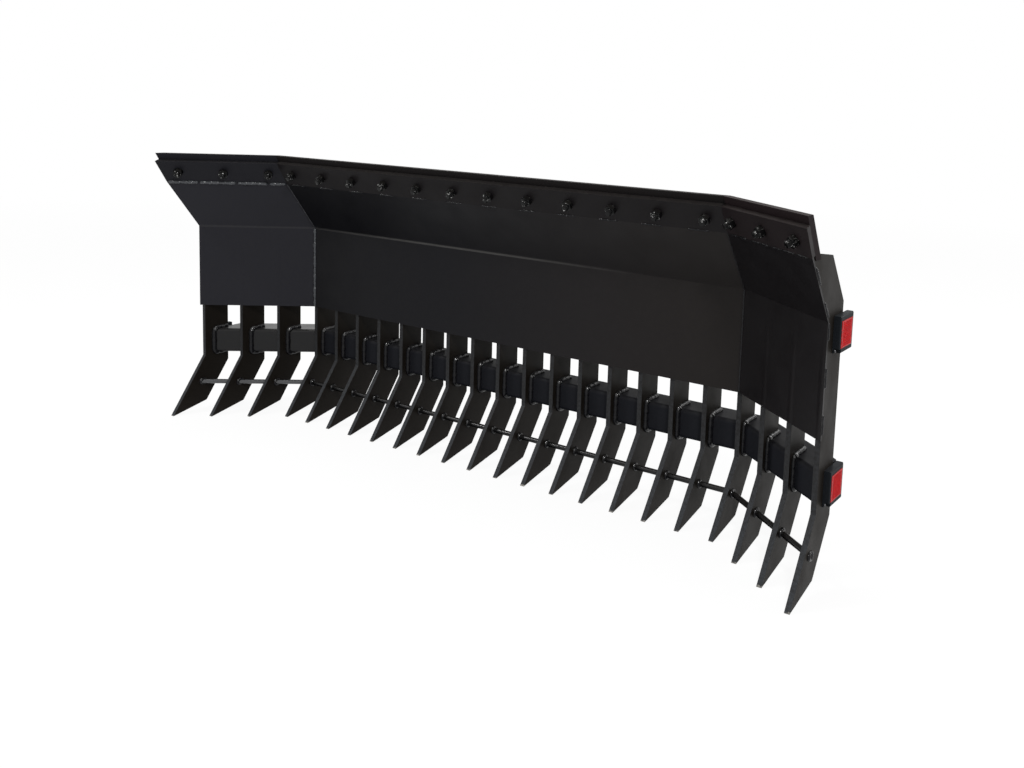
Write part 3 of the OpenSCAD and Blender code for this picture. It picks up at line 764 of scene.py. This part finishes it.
# Spark-eroded mould grain is 0.3 mm. It is drawn at 1.2 mm, so that it softens the highlights.
spark = add_node(tree, "ShaderNodeTexNoise", {"Scale": 1 / mm(1.2), "Detail": 2.0}, {"Vector": where})
tone = add_node(
    tree, "ShaderNodeMix", {"data_type": "RGBA", 6: linear("#0d0f11"), 7: linear("#1c1f23")},
    {0: spark.outputs[0]},
)
tree.links.new(tone.outputs[2], shader.inputs["Base Color"])
shader.inputs["IOR"].default_value = 1.49
shader.inputs["Specular IOR Level"].default_value = 0.06
shader.inputs["Roughness"].default_value = 0.5
grain = add_node(
    tree, "ShaderNodeBump", {"Strength": 0.6, "Distance": mm(0.08)}, {"Height": spark.outputs[0]},
)
tree.links.new(grain.outputs[0], shader.inputs["Normal"])

# The prisms mottle the red. A faint emission is a painted glow, for the light that the prisms send back
# from within.
lens_acrylic, tree, shader, where = new_material("moulded_red_acrylic")
cells = add_node(tree, "ShaderNodeTexVoronoi", {"Scale": 1 / PRISM}, {"Vector": where})
tone = add_node(
    tree, "ShaderNodeMix", {"data_type": "RGBA", 6: linear("#7d0a0d"), 7: linear("#b01b1e")},
    {0: cells.outputs["Distance"]},
)
tree.links.new(tone.outputs[2], shader.inputs["Base Color"])
shader.inputs["IOR"].default_value = 1.49
shader.inputs["Specular IOR Level"].default_value = 0.05
shader.inputs["Roughness"].default_value = 0.3
painted_glow = add_node(
    tree, "ShaderNodeMix", {"data_type": "RGBA", 6: linear("#7a0c10"), 7: linear("#c4282c")},
    {0: cells.outputs["Distance"]},
)
tree.links.new(painted_glow.outputs[2], shader.inputs["Emission Color"])
shader.inputs["Emission Strength"].default_value = 0.12

# Bright zinc is a thin plating that soon blooms in dull grey patches.
screw_zinc, tree, shader, where = new_material("bright_zinc_on_lamp_screws")
shader.inputs["Metallic"].default_value = 1.0
bloom = add_node(tree, "ShaderNodeTexNoise", {"Scale": 1 / mm(2), "Detail": 4.0}, {"Vector": where})
tone = add_node(
    tree, "ShaderNodeMix", {"data_type": "RGBA", 6: linear("#2e2e30"), 7: linear("#77777a")},
    {0: bloom.outputs[0]},
)
tree.links.new(tone.outputs[2], shader.inputs["Base Color"])
shader.inputs["Roughness"].default_value = 0.3


def prism_lens(corner, hand):
    """The points and faces of one lens: its body in the pocket, a flange over the housing's rim, and a field
    of four-sided prisms. Corner is the body's lowest and foremost corner, on the end tine's face.
    """
    points, faces = [], []

    def at(out_by, y, z):
        points.append(corner + Vector((hand * out_by, y, z)))
        return len(points) - 1

    top = LAMP_OUT + LENS_PROUD
    rows = round((LENS_SIDE - 2 * LENS_BORDER) / PRISM)
    edge = (LENS_SIDE - rows * PRISM) / 2
    rings = []
    for out_by, y_near, z_near in (
        (LAMP_OUT - LENS_POCKET, 0, 0),
        (LAMP_OUT, 0, 0),
        (LAMP_OUT, -LENS_FLANGE_ACROSS, -LENS_FLANGE_UP),
        (top - LENS_BEVEL_DEPTH, -LENS_FLANGE_ACROSS, -LENS_FLANGE_UP),
        (top, LENS_BEVEL_WIDTH - LENS_FLANGE_ACROSS, LENS_BEVEL_WIDTH - LENS_FLANGE_UP),
        (top, edge, edge),
    ):
        y_far, z_far = LENS_SIDE - y_near, LENS_SIDE - z_near
        corners = ((y_near, z_near), (y_far, z_near), (y_far, z_far), (y_near, z_far))
        rings.append([at(out_by, *each) for each in corners])
    for a, b in zip(rings, rings[1:]):
        faces += [(a[k], a[(k + 1) % 4], b[(k + 1) % 4], b[k]) for k in range(4)]
    faces.append(tuple(rings[0]))
    for i in range(rows):
        for j in range(rows):
            y, z = edge + i * PRISM, edge + j * PRISM
            corners = ((y, z), (y + PRISM, z), (y + PRISM, z + PRISM), (y, z + PRISM))
            base = [at(top, *each) for each in corners]
            peak = at(top - PRISM_DEPTH, y + PRISM / 2, z + PRISM / 2)
            faces += [(base[k], base[(k + 1) % 4], peak) for k in range(4)]
    if hand < 0:
        faces = [tuple(reversed(face)) for face in faces]
    return points, faces


lens_inset = (LAMP_SIDE - LENS_SIDE) / 2
for hand, name in ((1, "right"), (-1, "left")):
    dress(f"{name}_lamp_housings", housing_plastic)
    points, faces = [], []
    for lamp_height in LAMP_HEIGHTS:
        corner = place(hand * END_TINE, LAMP_BACK + lens_inset, lamp_height + lens_inset)
        corner.x = hand * END_FACE
        lens_points, lens_faces = prism_lens(corner, hand)
        faces += [tuple(len(points) + k for k in face) for face in lens_faces]
        points += lens_points
    lenses = make_piece(f"{name}_prism_lenses", points, faces, lens_acrylic)
    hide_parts(f"{name}_lamp_lenses")

screw_seats = []
for hand in (-1, 1):
    for lamp_height in LAMP_HEIGHTS:
        seat = place(hand * END_TINE, LAMP_BACK + SCREW_INSET, lamp_height + SCREW_INSET)
        seat.x = hand * (END_FACE + SCREW_SEAT)
        screw_seats.append((seat, Vector((hand, 0, 0))))

screw_rings = [
    circle(SCREW_SHANK_RADIUS, -TINE_THICKNESS - SCREW_SEAT),
    circle(SCREW_SHANK_RADIUS, 0),
    circle(SCREW_HEAD_RADIUS, 0),
    circle(SCREW_HEAD_RADIUS, SCREW_HEAD_HEIGHT * 0.4),
    circle(SCREW_HEAD_RADIUS * 0.86, SCREW_HEAD_HEIGHT * 0.75),
    circle(SCREW_HEAD_RADIUS * 0.6, SCREW_HEAD_HEIGHT),
    hexagon(SCREW_SOCKET, SCREW_HEAD_HEIGHT, first=0.0),
    hexagon(SCREW_SOCKET, SCREW_HEAD_HEIGHT * 0.5, first=0.0),
]
screws = ring_solid("pan_head_lamp_screws", screw_rings, screw_seats, screw_zinc)
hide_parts("lamp_screws")

# Hitch
#
# The loader's quick hitch takes hold of a flat plate behind the tines, under its sloped lip and through the
# two slots of its ledge. All of it is cut from plate, welded up and sprayed with the rest.

HITCH_BOTTOM = 0.350
HITCH_HALF = 0.5715
HITCH_RUNS = ((355, 400), (465, 510), (560, 605))

hitch_enamel, *_ = black_enamel("black_enamel_on_hitch_plate", roughness=0.3, wave_depth=mm(0.4))
for name in ("hitch_plate", "hitch_lip", "hitch_ledge", "hitch_gussets"):
    dress(name, hitch_enamel)

hitch_welds = Beads("hitch_welds", seed=16)
for x in tine_xs:
    if abs(x) > HITCH_HALF:
        continue
    for face_x, side in faces_of(x):
        for low, high in HITCH_RUNS:
            path = walk(place(face_x, TINE_BACK, mm(low)), place(face_x, TINE_BACK, mm(high)))
            hitch_welds.lay(path, [Vector((side, -1, 0))] * len(path), TINE_BEAD)
# One long bead runs along the plate's lower edge.
path = walk(place(-HITCH_HALF, TINE_BACK, HITCH_BOTTOM), place(HITCH_HALF, TINE_BACK, HITCH_BOTTOM))
hitch_welds.lay(path, [Vector((0, -1, 0))] * len(path), mm(3.5))
hitch_welds.done(weld_enamel)

# Studio
#
# A plain pale floor under the points, a white surround, and soft boxes in front of, over and behind the rake.
# The camera stands where the photograph was taken from, worked out from about 180 points of it.

FLOOR_HALF = 20.0
FLOOR_WHITENESS = 0.92

floor_mesh = bpy.data.meshes.new("floor")
floor_corners = [(x * FLOOR_HALF, y * FLOOR_HALF, -TIPS_TO_HITCH)
                 for x, y in ((-1, -1), (1, -1), (1, 1), (-1, 1))]
floor_mesh.from_pydata(floor_corners, [], [(0, 1, 2, 3)])
floor = bpy.data.objects.new("floor", floor_mesh)
bpy.context.scene.collection.objects.link(floor)


def seen_or_mirrored(tree):
    """1 where the camera sees a surface straight, mirrored or through glass, and 0 where it only lights."""
    ray = add_node(tree, "ShaderNodeLightPath")
    straight_or_mirrored = add_node(
        tree, "ShaderNodeMath", {"operation": "MAXIMUM"},
        {0: ray.outputs["Is Camera Ray"], 1: ray.outputs["Is Glossy Ray"]},
    )
    in_any_way = add_node(
        tree, "ShaderNodeMath", {"operation": "MAXIMUM"},
        {0: straight_or_mirrored.outputs[0], 1: ray.outputs["Is Transmission Ray"]},
    )
    return in_any_way.outputs[0]


floor_paint, tree, shader, where = new_material("matt_white_studio_floor")
shader.inputs["Base Color"].default_value = linear("#f2f2f2")
shader.inputs["Roughness"].default_value = 0.9
# Near the rake a little of the paint shows, with the shadow on it. The floor pales into the surround some
# metres off, so no far edge shows.
far_off = add_node(tree, "ShaderNodeVectorMath", {"operation": "LENGTH"}, {0: where})
whiteness = add_node(
    tree, "ShaderNodeMapRange", {"From Min": 2.0, "From Max": 7.0, "To Min": FLOOR_WHITENESS, "To Max": 1.0},
    {"Value": far_off.outputs["Value"]},
)
lift = add_node(
    tree, "ShaderNodeMath", {"operation": "MULTIPLY"}, {0: seen_or_mirrored(tree), 1: whiteness.outputs[0]},
)
white = add_node(tree, "ShaderNodeEmission", {"Color": linear("#ffffff"), "Strength": 1.0})
blend = add_node(
    tree, "ShaderNodeMixShader", links={0: lift.outputs[0], 1: shader.outputs[0], 2: white.outputs[0]},
)
tree.links.new(blend.outputs[0], tree.nodes["Material Output"].inputs["Surface"])
floor_mesh.materials.append(floor_paint)

world = bpy.data.worlds.new("white_surround")
bpy.context.scene.world = world
world.use_nodes = True
tree = world.node_tree
tree.nodes.clear()
# The surround lights the rake at less than half of the white that the camera sees.
level = add_node(
    tree, "ShaderNodeMapRange", {"To Min": 0.45, "To Max": 1.0}, {"Value": seen_or_mirrored(tree)},
)
surround = add_node(
    tree, "ShaderNodeBackground", {"Color": linear("#ffffff")}, {"Strength": level.outputs[0]},
)
add_node(tree, "ShaderNodeOutputWorld", links={"Surface": surround.outputs[0]})


def soft_box(name, position, width, height, power):
    """A lamp behind a rectangle of cloth, turned towards the middle of the hitch plate. Power is in watts."""
    light = bpy.data.lights.new(name, "AREA")
    light.shape = "RECTANGLE"
    light.size, light.size_y = width, height
    light.energy = power
    box = bpy.data.objects.new(name, light)
    box.location = position
    box.rotation_euler = (-Vector(position)).to_track_quat("-Z", "Y").to_euler()
    bpy.context.scene.collection.objects.link(box)


soft_box("key_soft_box", (2.6, -2.6, 2.8), 0.5, 0.4, 100)
soft_box("fill_soft_box", (-2.6, -2.2, 3.0), 0.6, 0.5, 70)
soft_box("overhead_soft_box", (-0.6, 0.4, 3.2), 3.0, 1.6, 80)
soft_box("rear_soft_box", (2.2, 3.4, 2.4), 2.4, 1.4, 60)

CAMERA_AT = (1.6829, -2.3583, 0.4903)
CAMERA_YAW = -0.6018
CAMERA_PITCH = -0.1264
CAMERA_ROLL = 0.0294
FOCAL_PIXELS = 1041.5
PICTURE_WIDTH = 1024
PICTURE_HEIGHT = 768
OPTICAL_CENTRE = (540, 220)

camera_data = bpy.data.cameras.new("camera")
camera_data.sensor_width = 36
camera_data.lens = FOCAL_PIXELS * camera_data.sensor_width / PICTURE_WIDTH
camera_data.shift_x = (PICTURE_WIDTH / 2 - OPTICAL_CENTRE[0]) / PICTURE_WIDTH
camera_data.shift_y = (OPTICAL_CENTRE[1] - PICTURE_HEIGHT / 2) / PICTURE_WIDTH
camera = bpy.data.objects.new("camera", camera_data)
level_ahead = Vector((math.sin(CAMERA_YAW), math.cos(CAMERA_YAW), 0))
ahead = level_ahead * math.cos(CAMERA_PITCH) + Vector((0, 0, math.sin(CAMERA_PITCH)))
level_right = Vector((math.cos(CAMERA_YAW), -math.sin(CAMERA_YAW), 0))
upright = level_right.cross(ahead)
right = level_right * math.cos(CAMERA_ROLL) + upright * math.sin(CAMERA_ROLL)
up = upright * math.cos(CAMERA_ROLL) - level_right * math.sin(CAMERA_ROLL)
camera.matrix_world = Matrix.Translation(CAMERA_AT) @ Matrix((right, up, -ahead)).transposed().to_4x4()
bpy.context.scene.collection.objects.link(camera)
bpy.context.scene.camera = camera
bpy.context.scene.view_settings.view_transform = "Standard"
